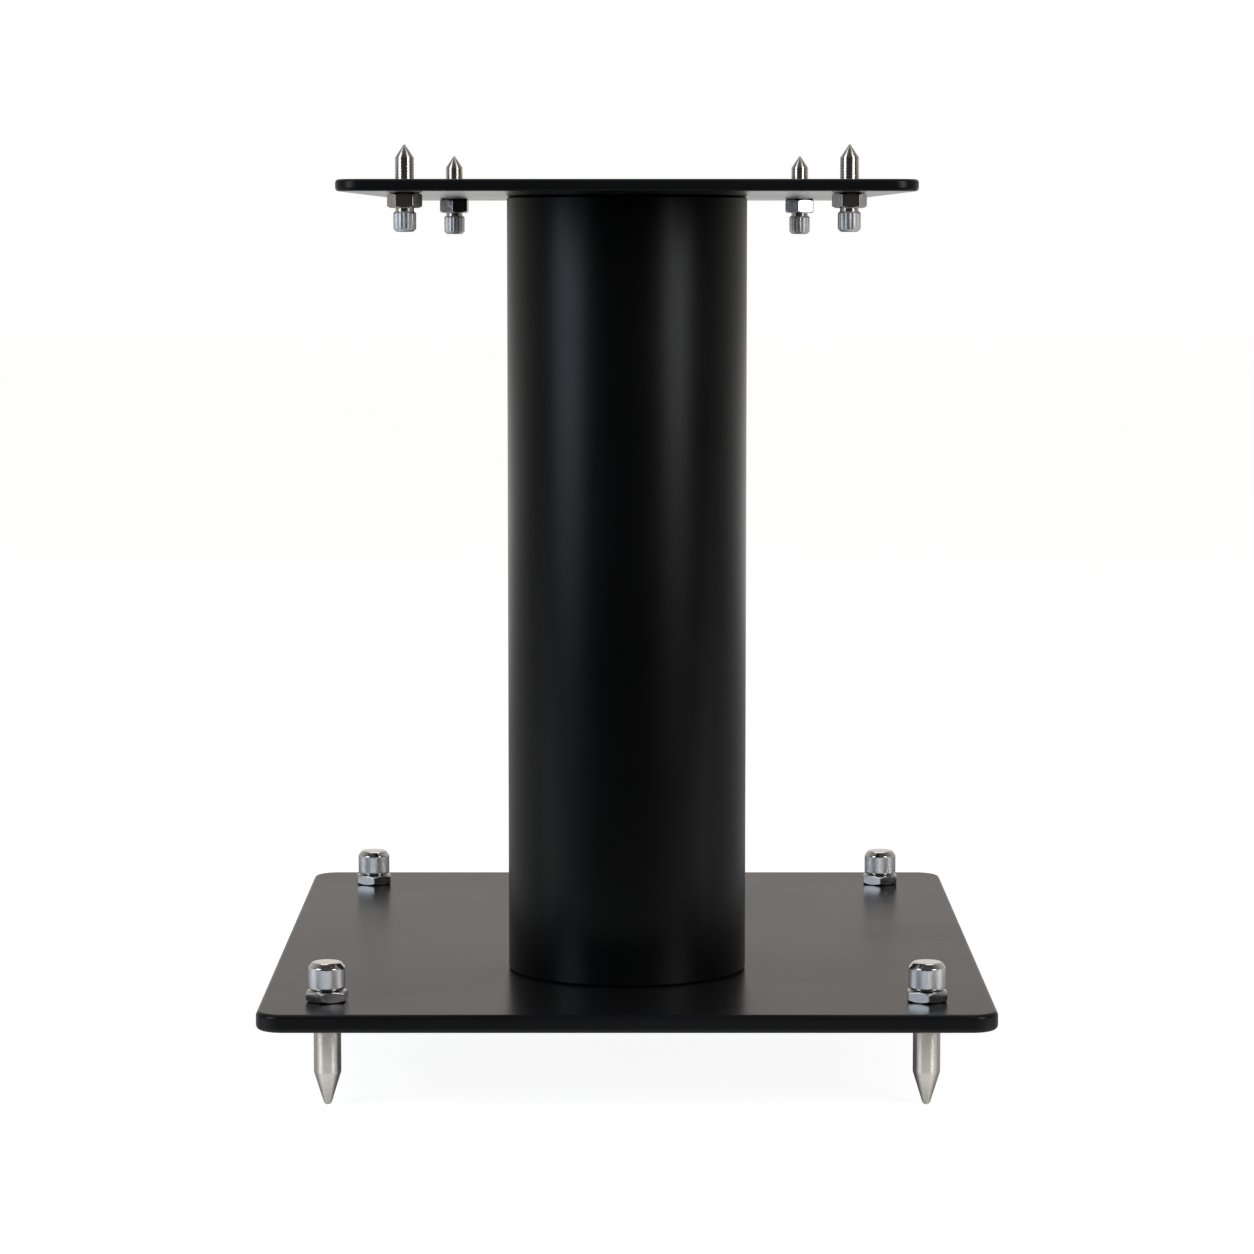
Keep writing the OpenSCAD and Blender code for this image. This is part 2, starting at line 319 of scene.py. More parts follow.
def powder_coat(name, ior, level, smoothest, roughest):
    """Black powder coat of this level of colour, between two values of roughness."""
    coat, tree, shader, coords = new_finish(name, IOR=ior)
    wave = noise(tree, coords, WAVE_SCALE, detail=2.0)
    grain = noise(tree, coords, POWDER_SCALE, detail=2.0)
    dark = Vector((1.0, 1.0, COAT_BLUE)) * level
    colour(tree, shader, wave, dark, dark * THIN_SKIN)
    gloss(tree, shader, wave, smoothest, roughest)
    bump(tree, shader, grain, strength=0.25, depth=0.03 * MM)
    return coat


tube_coat = powder_coat("satin_black_tube", ior=1.3, level=0.003, smoothest=0.31, roughest=0.35)
# The plates' higher level is painted light on their edges; the real coat has the tube's colour.
plate_coat = powder_coat("satin_black_plate", ior=1.25, level=0.009, smoothest=0.25, roughest=0.28)
print("made", tube_coat.name, "and", plate_coat.name)

# %% [markdown]
# ## Turned stainless steel
#
# The spikes come off a lathe, whose tool leaves very fine rings round them. Noise that is squeezed
# along the axis gives those rings, once as relief and once as a change of gloss. Real rings also pull
# every highlight out along the axis. Rings this fine would need far too many samples for that, so the
# shader's anisotropy does it: its tangent runs round Z, and a quarter turn points it along the axis.

# %% Turned steel
LATHE_RINGS = (40, 40, 7000)
QUARTER_TURN = 0.25

turned_steel, tree, shader, coords = new_finish(
    "turned_stainless", Metallic=1.0, Anisotropic=0.95, Anisotropic_Rotation=QUARTER_TURN)
rings = lines(tree, coords, LATHE_RINGS)
cloud = noise(tree, coords, scale=180.0)
colour(tree, shader, cloud, darker=(0.68, 0.64, 0.585), lighter=(0.75, 0.71, 0.655))
gloss(tree, shader, rings, smoothest=0.26, roughest=0.33)
round_it = tree.nodes.new("ShaderNodeTangent")
round_it.direction_type = "RADIAL"
round_it.axis = "Z"
tree.links.new(round_it.outputs["Tangent"], shader.inputs["Tangent"])
bump(tree, shader, rings, strength=0.15, depth=0.004 * MM)
print("made", turned_steel.name)

# %% [markdown]
# The fluted heads of the top spikes are the same steel, but their flutes are rolled in along the
# axis, and that leaves fine lines which run up and down. The turned finish could serve here too, but
# in the photograph the heads are paler and duller than the spikes. So the noise is squeezed across
# the axis instead, and the surface is rougher.

# %% Combed steel
COMB_LINES = (3000, 3000, 200)

combed_steel, tree, shader, coords = new_finish("combed_stainless", Metallic=1.0)
combed = lines(tree, coords, COMB_LINES)
colour(tree, shader, combed, darker=(0.74, 0.73, 0.74), lighter=(0.84, 0.83, 0.84))
gloss(tree, shader, combed, smoothest=0.44, roughest=0.52)
bump(tree, shader, combed, strength=0.08, depth=0.006 * MM)
print("made", combed_steel.name)

# %% [markdown]
# ## Three kinds of nickel
#
# The nuts have a dull grey plating that still shows the drawn bar below it. The knobs are plated
# brighter. Where the knurl is pressed into a knob, the metal is torn a little, so the same plating
# looks rougher there. One metal with a mask could hold all three, but three plain finishes are
# easier to tune against a photograph.

# %% Dull nickel for the nuts
DRAWN_LINES = (5200, 5200, 240)

nut_plating, tree, shader, coords = new_finish("dull_nickel", Metallic=1.0)
patches = noise(tree, coords, scale=420.0, detail=4.0)
drawn = lines(tree, coords, DRAWN_LINES)
colour(tree, shader, patches, darker=(0.51, 0.50, 0.50), lighter=(0.59, 0.58, 0.58))
gloss(tree, shader, patches, smoothest=0.12, roughest=0.18)
bump(tree, shader, drawn, strength=0.05, depth=0.004 * MM)
print("made", nut_plating.name)

# %% Bright nickel for the knobs
bright_plate, tree, shader, coords = new_finish("bright_nickel", Metallic=1.0)
haze = noise(tree, coords, scale=700.0)
colour(tree, shader, haze, darker=(0.84, 0.83, 0.81), lighter=(0.90, 0.89, 0.87))
gloss(tree, shader, haze, smoothest=0.08, roughest=0.14)
bump(tree, shader, haze, strength=0.06, depth=0.004 * MM)
print("made", bright_plate.name)

# %% Pressed nickel for the knurl
knurled_plate, tree, shader, coords = new_finish("pressed_nickel", Metallic=1.0)
tears = noise(tree, coords, scale=2400.0, detail=2.0)
colour(tree, shader, tears, darker=(0.72, 0.71, 0.71), lighter=(0.86, 0.85, 0.85))
gloss(tree, shader, tears, smoothest=0.4, roughest=0.52)
bump(tree, shader, tears, strength=0.2, depth=0.01 * MM)
print("made", knurled_plate.name)

# %% [markdown]
# ## Black screws and bare steel
#
# The plate screws are blackened in a hot bath, which leaves a blotchy, slightly metallic black. The
# flanges inside the tube are bare mill steel with patches of scale, because nobody sees them.

# %% Blackened steel for the plate screws
black_screws, tree, shader, coords = new_finish("blackened_steel", Metallic=0.6)
blotch = noise(tree, coords, scale=520.0, detail=4.0)
colour(tree, shader, blotch, darker=(0.035, 0.035, 0.038), lighter=(0.055, 0.055, 0.058))
gloss(tree, shader, blotch, smoothest=0.34, roughest=0.46)
bump(tree, shader, blotch, strength=0.15, depth=0.01 * MM)
print("made", black_screws.name)

# %% Mill steel for the flanges
bare_steel, tree, shader, coords = new_finish("mill_steel", Metallic=1.0)
scale_marks = noise(tree, coords, scale=160.0, detail=5.0)
colour(tree, shader, scale_marks, darker=(0.30, 0.30, 0.31), lighter=(0.46, 0.45, 0.45))
gloss(tree, shader, scale_marks, smoothest=0.35, roughest=0.55)
bump(tree, shader, scale_marks, strength=0.2, depth=0.02 * MM)
print("made", bare_steel.name)

# %% [markdown]
# ## The two plates
#
# Each plate is laser cut, its corners and edges are rounded, and then it is coated. The shape could
# be a cube with a bevel, but the sides lean a little, and then a bevel makes uneven corners. So the
# edge is drawn as rings: each ring follows the same four corner arcs, a little further in or out.
# The holes are cut afterwards, as a drill would.

# %% A plate with soft edges
STAND_BODY = "stand"
ARC_STEPS = 20
EDGE_STEPS = 8
QUARTER = math.pi / 2


def plate_corners(front_width, back_width, front_y, back_y, radius):
    """Centre, first angle and last angle of each corner's arc, going round from the front right."""
    lean = math.atan((back_width - front_width) / 2 / (back_y - front_y))
    front_x = front_width / 2 + radius * math.tan(lean) - radius / math.cos(lean)
    back_x = back_width / 2 - radius * math.tan(lean) - radius / math.cos(lean)
    return [
        ((front_x, front_y + radius), -QUARTER, -lean),
        ((back_x, back_y - radius), -lean, QUARTER),
        ((-back_x, back_y - radius), QUARTER, math.pi + lean),
        ((-front_x, front_y + radius), math.pi + lean, 3 * QUARTER),
    ]


def plate_blank(name, corners, radius, low, high, edge):
    """The plate before drilling: rings from the lower face up to the upper face."""
    form = bmesh.new()
    sides = []
    for middle, first in ((low + edge, -QUARTER), (high - edge, 0.0)):
        for step in range(EDGE_STEPS + 1):
            angle = first + QUARTER * step / EDGE_STEPS
            sides.append((edge * (1 - math.cos(angle)), middle + edge * math.sin(angle)))
    rows = []
    for inset, level in sides:
        row = []
        reach = radius - inset
        for (x, y), first, last in corners:
            for step in range(ARC_STEPS + 1):
                angle = first + (last - first) * step / ARC_STEPS
                point = (x + reach * math.cos(angle), y + reach * math.sin(angle), level)
                row.append(form.verts.new(point))
        rows.append(row)
    form.faces.new(reversed(rows[0]))
    form.faces.new(rows[-1])
    for below, above in zip(rows, rows[1:]):
        for step in range(len(below)):
            after = (step + 1) % len(below)
            form.faces.new((below[step], below[after], above[after], above[step]))
    mesh = bpy.data.meshes.new(name)
    form.to_mesh(mesh)
    form.free()
    return mesh


def lasting_normals(piece):
    """Keeps large flat faces flat beside their rounded edges."""
    even = piece.modifiers.new("even normals", "WEIGHTED_NORMAL")
    even.keep_sharp = True
    even.weight = 100


print("each plate's edge has", 2 * (EDGE_STEPS + 1), "rings of", 4 * (ARC_STEPS + 1), "points")

# %% [markdown]
# The screws' places and sizes are standard ones: M6 countersunk screws on a circle round the column.
# Their holes are drilled with the same outline as the screws, a little larger. The spikes run in
# straight holes. A boolean modifier cuts all the holes of a plate at once, and its result is kept as
# a plain mesh.

# %% Where the screws go
SCREW_R = 3 * MM
SCREW_HEAD_R = 6 * MM
SCREW_CIRCLE_R = 36 * MM
SCREW_ANGLES = (45, 135, 225, 315)

screw_sink = SCREW_HEAD_R - SCREW_R
screw_places = []
for degrees in SCREW_ANGLES:
    angle = math.radians(degrees)
    screw_places.append(COLUMN_AXIS + SCREW_CIRCLE_R * Vector((math.cos(angle), math.sin(angle), 0)))
print("screws on a circle of", round(2 * SCREW_CIRCLE_R / MM), "mm")

# %% The drills
SCREW_GAP = 0.05 * MM
SPIKE_GAP = 0.05 * MM
DRILL_STEPS = 48
DRILL_PAST = 2 * MM
DRILL_DEPTH = 12 * MM


def drill_for_screw(name):
    """A drill whose head's face is at height 0 and which cuts downward."""
    hole = SCREW_R + SCREW_GAP
    seat = SCREW_HEAD_R + SCREW_GAP
    outline = [
        (0, -DRILL_DEPTH),
        (hole, -DRILL_DEPTH),
        (hole, -screw_sink),
        (seat, 0),
        (seat, DRILL_PAST),
        (0, DRILL_PAST),
    ]
    return skin(name, outline, DRILL_STEPS)


def drill_for_spike(name, radius, low, high):
    """A straight drill from below the plate to above it."""
    hole = radius + SPIKE_GAP
    bottom = low - DRILL_PAST
    top = high + DRILL_PAST
    return skin(name, [(0, bottom), (hole, bottom), (hole, top), (0, top)], DRILL_STEPS)


def joined(name, meshes):
    """Several meshes as one."""
    whole = bmesh.new()
    for mesh in meshes:
        whole.from_mesh(mesh)
    made = bpy.data.meshes.new(name)
    whole.to_mesh(made)
    whole.free()
    return made


def drilled(mesh, drill):
    """The mesh with the drill's solids cut out of it."""
    blank = bpy.data.objects.new("blank", mesh)
    tool = bpy.data.objects.new("drill", drill)
    for thing in (blank, tool):
        bpy.context.scene.collection.objects.link(thing)
    cut = blank.modifiers.new("holes", "BOOLEAN")
    cut.object = tool
    cut.solver = "EXACT"
    shape = blank.evaluated_get(bpy.context.evaluated_depsgraph_get())
    made = bpy.data.meshes.new_from_object(shape)
    for thing in (blank, tool):
        bpy.data.objects.remove(thing)
    return made


print("drill depth", DRILL_DEPTH / MM, "mm")

# %% Base plate
BASE_FRONT_WIDTH = 320 * MM
BASE_BACK_WIDTH = 328 * MM
BASE_CORNER_R = 12 * MM
BASE_EDGE_R = 2 * MM
FLOOR_THREAD_R = 5 * MM

low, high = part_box("base_plate")
corners = plate_corners(BASE_FRONT_WIDTH, BASE_BACK_WIDTH, low.y, high.y, BASE_CORNER_R)
base_blank = plate_blank("base_blank", corners, BASE_CORNER_R, low.z, high.z, BASE_EDGE_R)
floor_spots = {corner: middle_of(f"floor_spike_{corner}") for corner in CORNERS}
upside_down = Matrix.Rotation(math.pi, 4, "X")
lower_face = Vector((0, 0, low.z))
base_drill = joined("base_drill", [
    gathered("sink_holes", drill_for_screw("sink_hole"),
             [Matrix.Translation(place + lower_face) @ upside_down for place in screw_places]),
    gathered("floor_holes", drill_for_spike("floor_hole", FLOOR_THREAD_R, low.z, high.z),
             [Matrix.Translation(place) for place in floor_spots.values()]),
])
base_mesh = shade(drilled(base_blank, base_drill))
base_piece = place_piece(
    "base_plate_coated", base_mesh, plate_coat, "base_plate", STAND_BODY)
lasting_normals(base_piece)
print("base plate:", len(base_mesh.polygons), "faces")

# %% Top plate
TOP_FRONT_WIDTH = 243 * MM
TOP_BACK_WIDTH = 212 * MM
TOP_CORNER_R = 12 * MM
TOP_EDGE_R = 1.5 * MM
TOP_THREAD_R = 4 * MM

low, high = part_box("top_plate")
corners = plate_corners(TOP_FRONT_WIDTH, TOP_BACK_WIDTH, low.y, high.y, TOP_CORNER_R)
top_blank = plate_blank("top_blank", corners, TOP_CORNER_R, low.z, high.z, TOP_EDGE_R)
top_spots = {corner: middle_of(f"top_spike_{corner}") for corner in CORNERS}
upper_face = Vector((0, 0, high.z))
top_drill = joined("top_drill", [
    gathered("sink_holes_above", drill_for_screw("sink_hole_above"),
             [Matrix.Translation(place + upper_face) for place in screw_places]),
    gathered("top_holes", drill_for_spike("top_hole", TOP_THREAD_R, low.z, high.z),
             [Matrix.Translation(place) for place in top_spots.values()]),
])
top_mesh = shade(drilled(top_blank, top_drill))
top_piece = place_piece(
    "top_plate_coated", top_mesh, plate_coat, "top_plate", STAND_BODY)
lasting_normals(top_piece)
print("top plate:", len(top_mesh.polygons), "faces")

# %% [markdown]
# ## The column
#
# A length of steel tube, faced on the lathe and coated. Its ends have a small bevel, which leaves the
# thin dark seam that shows where the tube meets each plate. A plain cylinder could stand in for it,
# but it would have sharp ends and no wall. This wall is real, so the tube is open inside, as in the
# frame.

# %% Column tube
COLUMN_WALL = 3 * MM
COLUMN_BEVEL = 0.9 * MM
COLUMN_SOFT_EDGE = 0.3 * MM
COLUMN_STEPS = 256

foot, head = levels_of("column_tube")
column_r = radius_of("column_tube")
column_outline = [
    (column_r - COLUMN_WALL, foot),
    (column_r - COLUMN_BEVEL, foot),
    (column_r, foot + COLUMN_BEVEL),
    (column_r, head - COLUMN_BEVEL),
    (column_r - COLUMN_BEVEL, head),
    (column_r - COLUMN_WALL, head),
]
column_rings = softened(column_outline, COLUMN_SOFT_EDGE)
column_mesh = shade(skin("column", column_rings, COLUMN_STEPS, closed=True), sharp_degrees=50)
place_piece(
    "column_coated", column_mesh, tube_coat, "column_tube", STAND_BODY, COLUMN_AXIS)
print("column:", round(column_r * 2 / MM), "mm across,", round((head - foot) / MM, 1), "mm long")

# %% [markdown]
# ## Threads, flutes and flats
#
# A thread is a groove that climbs by one pitch a turn, so its depth at a point depends on the height
# less the share of a turn. Flutes depend on the angle alone. Both only ever take metal away from the
# bar, so the finished piece stays inside the frame's own radius.

# %% Cutters for rings
ROWS_PER_PITCH = 12


def threaded(radius, height, pitch, depth, crest):
    """A ring of a thread, at one height on the bar, whose flat crests take this share of the pitch."""
    def ring(angle):
        turn = (height / pitch - angle / math.tau) % 1
        from_crest = 1 - abs(turn * 2 - 1)
        groove = max(0, (from_crest - crest) / (1 - crest))
        return radius - depth * groove, height
    return ring


def thread_rings(radius, low, high, pitch, depth, crest):
    """Rings of a thread between two heights, which fades out over its first and last turn."""
    count = round((high - low) / pitch * ROWS_PER_PITCH)
    rings = []
    for row in range(count + 1):
        height = low + (high - low) * row / count
        fade = min(1, (height - low) / pitch, (high - height) / pitch)
        rings.append(threaded(radius, height, pitch, depth * fade, crest))
    return rings


def fluted(radius, height, count, depth):
    """A ring with round-bottomed flutes and thin ridges between them."""
    def ring(angle):
        return radius - depth * abs(math.cos(angle * count / 2)), height
    return ring


def hexagon(flats, level_at):
    """A ring that follows a hexagon this wide across flats, at a level that depends on its radius."""
    def ring(angle):
        side = angle % (math.pi / 3) - math.pi / 6
        radius = flats / 2 / math.cos(side)
        return radius, level_at(radius)
    return ring


print("a thread gets", ROWS_PER_PITCH, "rows for each pitch")

# %% [markdown]
# ## Floor spikes
#
# Each floor spike is a turned bar: a rounded point, a long cone, a plain shank, and above the
# shoulder the thread that runs up through the base plate, the nut and the knob. A cone and some
# cylinders could be joined, but their corners would stay hard. So it is one skin, and its rings
# follow the spike from the floor up, as the lathe's tool does.

# %% The outline of a point
TIP_STEPS = 8


def pointed(radius, cone, tip_r):
    """Outline of a rounded tip, from the axis to where it runs smoothly into the cone."""
    half = math.acos(tip_r / math.hypot(radius, cone - tip_r)) - math.atan2(cone - tip_r, radius)
    outline = [(0, 0)]
    for step in range(1, TIP_STEPS + 1):
        angle = (QUARTER - half) * step / TIP_STEPS
        outline.append((tip_r * math.sin(angle), tip_r * (1 - math.cos(angle))))
    return outline


print("a tip has", TIP_STEPS, "rings")

# %% Floor spikes
FLOOR_SHANK_R = 6 * MM
FLOOR_CONE = 14.8 * MM
FLOOR_TIP_R = 1.9 * MM
FLOOR_SHOULDER = 33.2 * MM
FLOOR_PLAIN_NECK = 1 * MM
FLOOR_SOFT_EDGE = 0.25 * MM
FLOOR_PITCH = 1.5 * MM
FLOOR_THREAD_DEPTH = 0.85 * MM
FLOOR_CREST = 0.2
FLOOR_END_BEVEL = 0.8 * MM
SPIKE_STEPS = 96

thread_start = FLOOR_SHOULDER + FLOOR_PLAIN_NECK
thread_top = levels_of("floor_spike_front_left")[1]
thread_end = thread_top - FLOOR_END_BEVEL
# The first and last point only give their neighbours a direction, so they are dropped again.
shank_outline = softened([
    (FLOOR_TIP_R, FLOOR_TIP_R),
    (FLOOR_SHANK_R, FLOOR_CONE),
    (FLOOR_SHANK_R, FLOOR_SHOULDER),
    (FLOOR_THREAD_R, FLOOR_SHOULDER),
    (FLOOR_THREAD_R, thread_start),
], FLOOR_SOFT_EDGE)[1:-1]
floor_thread = thread_rings(
    FLOOR_THREAD_R, thread_start, thread_end, FLOOR_PITCH, FLOOR_THREAD_DEPTH, FLOOR_CREST)
floor_rings = [
    *pointed(FLOOR_SHANK_R, FLOOR_CONE, FLOOR_TIP_R),
    *shank_outline,
    *floor_thread,
    (FLOOR_THREAD_R - FLOOR_END_BEVEL, thread_top),
    (0, thread_top),
]
spike_mesh = shade(skin("floor_spike", floor_rings, SPIKE_STEPS), sharp_degrees=35)
for corner, place in floor_spots.items():
    node = f"floor_spike_{corner}"
    place_piece(f"{node}_turned", spike_mesh, turned_steel, node, node, place)
print("floor spikes:", len(spike_mesh.polygons), "faces each")

# %% [markdown]
# ## Lock nuts
#
# A nut is a slice of hexagon bar, bevelled on the lathe at both ends. The bevel is a cone, and where
# it meets the flats it leaves the curved edges that make a nut look like a nut. Here a flat's edge
# simply lies at the height that the cone has at that radius, so the curves come out by themselves.
# A bevel modifier then rounds the sharper edges by a hair, and those catch the light.

# %% The shape of a nut
NUT_STEPS = 96
NUT_FACE_SHARE = 0.94
NUT_BEVEL_SLOPE = math.tan(math.radians(30))
NUT_SOFT_EDGE = 0.16 * MM
NUT_SOFT_FROM = math.radians(25)
BORE_BEVEL = 0.5 * MM


def nut_mesh(name, flats, height, bore_r):
    """A nut with its foot at height 0."""
    face_r = flats / 2 * NUT_FACE_SHARE
    rings = [
        (bore_r, BORE_BEVEL),
        (bore_r + BORE_BEVEL, 0),
        (face_r, 0),
        hexagon(flats, lambda radius: (radius - face_r) * NUT_BEVEL_SLOPE),
        hexagon(flats, lambda radius: height - (radius - face_r) * NUT_BEVEL_SLOPE),
        (face_r, height),
        (bore_r + BORE_BEVEL, height),
        (bore_r, height - BORE_BEVEL),
    ]
    mesh = skin(name, rings, NUT_STEPS, closed=True)
    mesh.shade_smooth()
    return mesh


def soften_edges(nut):
    """Rounds the edges between faces that meet at more than a slight angle."""
    soft = nut.modifiers.new("soft edges", "BEVEL")
    soft.width = NUT_SOFT_EDGE
    soft.segments = 2
    soft.limit_method = "ANGLE"
    soft.angle_limit = NUT_SOFT_FROM
    soft.harden_normals = True


print("a nut's flat face takes", NUT_FACE_SHARE, "of its width")

# %% Lock nuts
FLOOR_NUT_FLATS = 17 * MM
TOP_NUT_FLATS = 13 * MM
FLOOR_NUT_TURNS = (22, 31, 34, 27)
TOP_NUT_TURNS = (1, 3, 26, 23)


def place_nuts(kind, flats, bore_r, spots, turns):
    """Puts a nut at each corner, each stopped at its own turn in degrees."""
    low, high = levels_of(f"{kind}_front_left")
    mesh = nut_mesh(kind, flats, high - low, bore_r)
    for corner, turn in zip(CORNERS, turns):
        node = f"{kind}_{corner}"
        place = spots[corner] + Vector((0, 0, levels_of(node)[0]))
        nut = place_piece(
            f"{node}_plated", mesh, nut_plating, node, node, place, math.radians(turn))
        soften_edges(nut)
    print(kind, round((high - low) / MM, 1), "mm high,", round(flats / MM), "mm across flats")


floor_bore_r = FLOOR_THREAD_R + SPIKE_GAP
top_bore_r = TOP_THREAD_R + SPIKE_GAP
place_nuts("floor_lock_nut", FLOOR_NUT_FLATS, floor_bore_r, floor_spots, FLOOR_NUT_TURNS)
place_nuts("top_lock_nut", TOP_NUT_FLATS, top_bore_r, top_spots, TOP_NUT_TURNS)

# %% [markdown]
# ## Knurled knobs
#
# The knob that turns a floor spike has a fine diamond knurl between a small foot bevel and a broad,
# soft shoulder. Two rollers press a knurl into the metal, and where their grooves cross they leave
# rows of small pyramids. A bump could fake that, but the sparkle comes from the facets, so the
# pyramids are modelled: every second point of the grid is sunk, and the faces fold along the grooves.

# %% The knurl
KNURL_COUNT = 88
KNURL_DEPTH = 0.09 * MM
KNURL_MARGIN = 0.5 * MM
KNOB_FOOT = 0.6 * MM
KNOB_SHOULDER_H = 2.2 * MM

knob_low, knob_high = levels_of("floor_knob_front_left")
knob_r = radius_of("floor_knob_front_left")
knob_h = knob_high - knob_low
knob_steps = 2 * KNURL_COUNT
knurl_low = KNOB_FOOT + KNURL_MARGIN
knurl_high = knob_h - KNOB_SHOULDER_H - KNURL_MARGIN
knurl_rows = round((knurl_high - knurl_low) / (math.tau * knob_r / knob_steps))


def knurled(row):
    """A ring of the knurl: its points are sunk in turn."""
    height = knurl_low + (knurl_high - knurl_low) * row / knurl_rows

    def ring(angle):
        step = round(angle / math.tau * knob_steps)
        return knob_r - KNURL_DEPTH * ((row + step) % 2), height
    return ring


print("knurl:", KNURL_COUNT, "teeth round,", knurl_rows, "rows")

# %% Knobs
KNOB_SHOULDER_W = 1.8 * MM
KNOB_HOLE_DEPTH = 9 * MM
BAND_DROP = 0.05 * MM
KNURL_RUN_IN = 0.1 * MM
FOOT_SOFT_EDGE = 0.2 * MM
SHOULDER_SOFT_EDGE = 0.7 * MM
HOLE_MARGIN = 1 * MM

band_r = knob_r - BAND_DROP
knob_foot_rings = softened([
    (floor_bore_r, 0),
    (knob_r - KNOB_FOOT, 0),
    (band_r, KNOB_FOOT),
    (band_r, knurl_low - KNURL_RUN_IN),
], FOOT_SOFT_EDGE)
knob_head_rings = softened([
    (band_r, knurl_high + KNURL_RUN_IN),
    (band_r, knob_h - KNOB_SHOULDER_H),
    (knob_r - KNOB_SHOULDER_W, knob_h),
    (0, knob_h),
], SHOULDER_SOFT_EDGE, steps=8)
rings_below = [(0, KNOB_HOLE_DEPTH), (floor_bore_r, KNOB_HOLE_DEPTH), *knob_foot_rings]
knurl_rings = [knurled(row) for row in range(knurl_rows + 1)]
diamond_rows = range(len(rings_below), len(rings_below) + knurl_rows)
knob_rings = rings_below + knurl_rings + knob_head_rings
knob_mesh = shade(skin("knob", knob_rings, knob_steps, diamonds=diamond_rows), sharp_degrees=25)
knob_mesh.materials.append(bright_plate)
knob_mesh.materials.append(knurled_plate)
for face in knob_mesh.polygons:
    outside = face.center.xy.length > floor_bore_r + HOLE_MARGIN
    face.material_index = int(outside and knurl_low < face.center.z < knurl_high)
for corner, spot in floor_spots.items():
    node = f"floor_knob_{corner}"
    place = spot + Vector((0, 0, knob_low))
    place_piece(f"{node}_knurled", knob_mesh, bright_plate, node, node, place)
print("knobs:", round(2 * knob_r / MM, 1), "mm across,", len(knob_mesh.polygons), "faces each")

# %% [markdown]
# ## Top spikes
#
# A top spike is one turned screw: a short cone with a fine point above the plate, M8 thread through
# the plate and the nut, and a small fluted head that fingers can turn. The head could be a piece of
# its own, but it is hardly wider than the thread, so all of it is one skin, built from the head up.
# The photograph shows only faint notches for a thread, so its crests are broad and its grooves
# shallow.

# %% The fluted head
HEAD_R = 4.9 * MM
HEAD_H = 8.6 * MM
HEAD_BEVEL = 1.3 * MM
HEAD_SHOULDER = 0.7 * MM
FLUTES = 22
FLUTE_DEPTH = 0.15 * MM
BEVEL_KNEE = 0.55 * MM
# Each row: inset from the full radius, distance from that end of the head, share of a flute's depth.
HEAD_FOOT_ROWS = [
    (HEAD_BEVEL, 0.1 * MM, 0.0),
    (BEVEL_KNEE, HEAD_BEVEL - BEVEL_KNEE, 0.2),
    (0.05 * MM, HEAD_BEVEL, 0.9),
    (0.0, HEAD_BEVEL + 0.2 * MM, 1.0),
]
HEAD_SHOULDER_ROWS = [
    (0.0, HEAD_SHOULDER + 0.1 * MM, 1.0),
    (0.1 * MM, HEAD_SHOULDER, 0.8),
    (HEAD_SHOULDER, 0.0, 0.0),
]
HEAD_FACE_INSET = 0.3 * MM

head_low, point_high = levels_of("top_spike_front_left")
head_top = head_low + HEAD_H
head_rings = [(0, head_low), (HEAD_R - HEAD_BEVEL - HEAD_FACE_INSET, head_low)]
for inset, rise, share in HEAD_FOOT_ROWS:
    head_rings.append(fluted(HEAD_R - inset, head_low + rise, FLUTES, FLUTE_DEPTH * share))
for inset, drop, share in HEAD_SHOULDER_ROWS:
    head_rings.append(fluted(HEAD_R - inset, head_top - drop, FLUTES, FLUTE_DEPTH * share))
print("head:", 2 * HEAD_R / MM, "mm across with", FLUTES, "flutes")

# %% Top spikes
TOP_PITCH = 1.25 * MM
TOP_THREAD_DEPTH = 0.06 * MM
TOP_CREST = 0.62
TOP_CONE = 5.6 * MM
TOP_TIP_R = 0.5 * MM
TOP_STEPS = FLUTES * 8
COMBED_FROM = 0.2 * MM
COMBED_TO = HEAD_H - 0.1 * MM

cone_low = point_high - TOP_CONE
tip = pointed(TOP_THREAD_R, TOP_CONE, TOP_TIP_R)
top_rings = [
    *head_rings,
    *thread_rings(TOP_THREAD_R, head_top, cone_low, TOP_PITCH, TOP_THREAD_DEPTH, TOP_CREST),
    *[(radius, point_high - drop) for radius, drop in reversed(tip)],
]
top_spike_mesh = shade(skin("top_spike", top_rings, TOP_STEPS), sharp_degrees=35)
top_spike_mesh.materials.append(turned_steel)
top_spike_mesh.materials.append(combed_steel)
for face in top_spike_mesh.polygons:
    face.material_index = int(COMBED_FROM < face.center.z - head_low < COMBED_TO)
for corner, place in top_spots.items():
    node = f"top_spike_{corner}"
    place_piece(f"{node}_turned", top_spike_mesh, turned_steel, node, node, place)
print("top spikes:", len(top_spike_mesh.polygons), "faces each")

# %% [markdown]
# ## Plate screws
#
# Eight black countersunk screws join the plates to the flanges. Only their heads and key sockets can
# be seen, from above the top plate and from below the base plate, so the socket gets its own walls
# and a bevelled mouth, and the thread stays plain.

# %% The shape of a screw
KEY_FLATS = 4 * MM
KEY_DEPTH = 2.3 * MM
KEY_DRILL_POINT = 0.8 * MM
KEY_MOUTH_DEPTH = 0.25 * MM
KEY_MOUTH_WIDTH = 0.62 * MM
HEAD_SUNK = 0.02 * MM
HEAD_RIM_WIDTH = 0.3 * MM
HEAD_RIM_DROP = 0.1 * MM
SCREW_END = 0.8 * MM


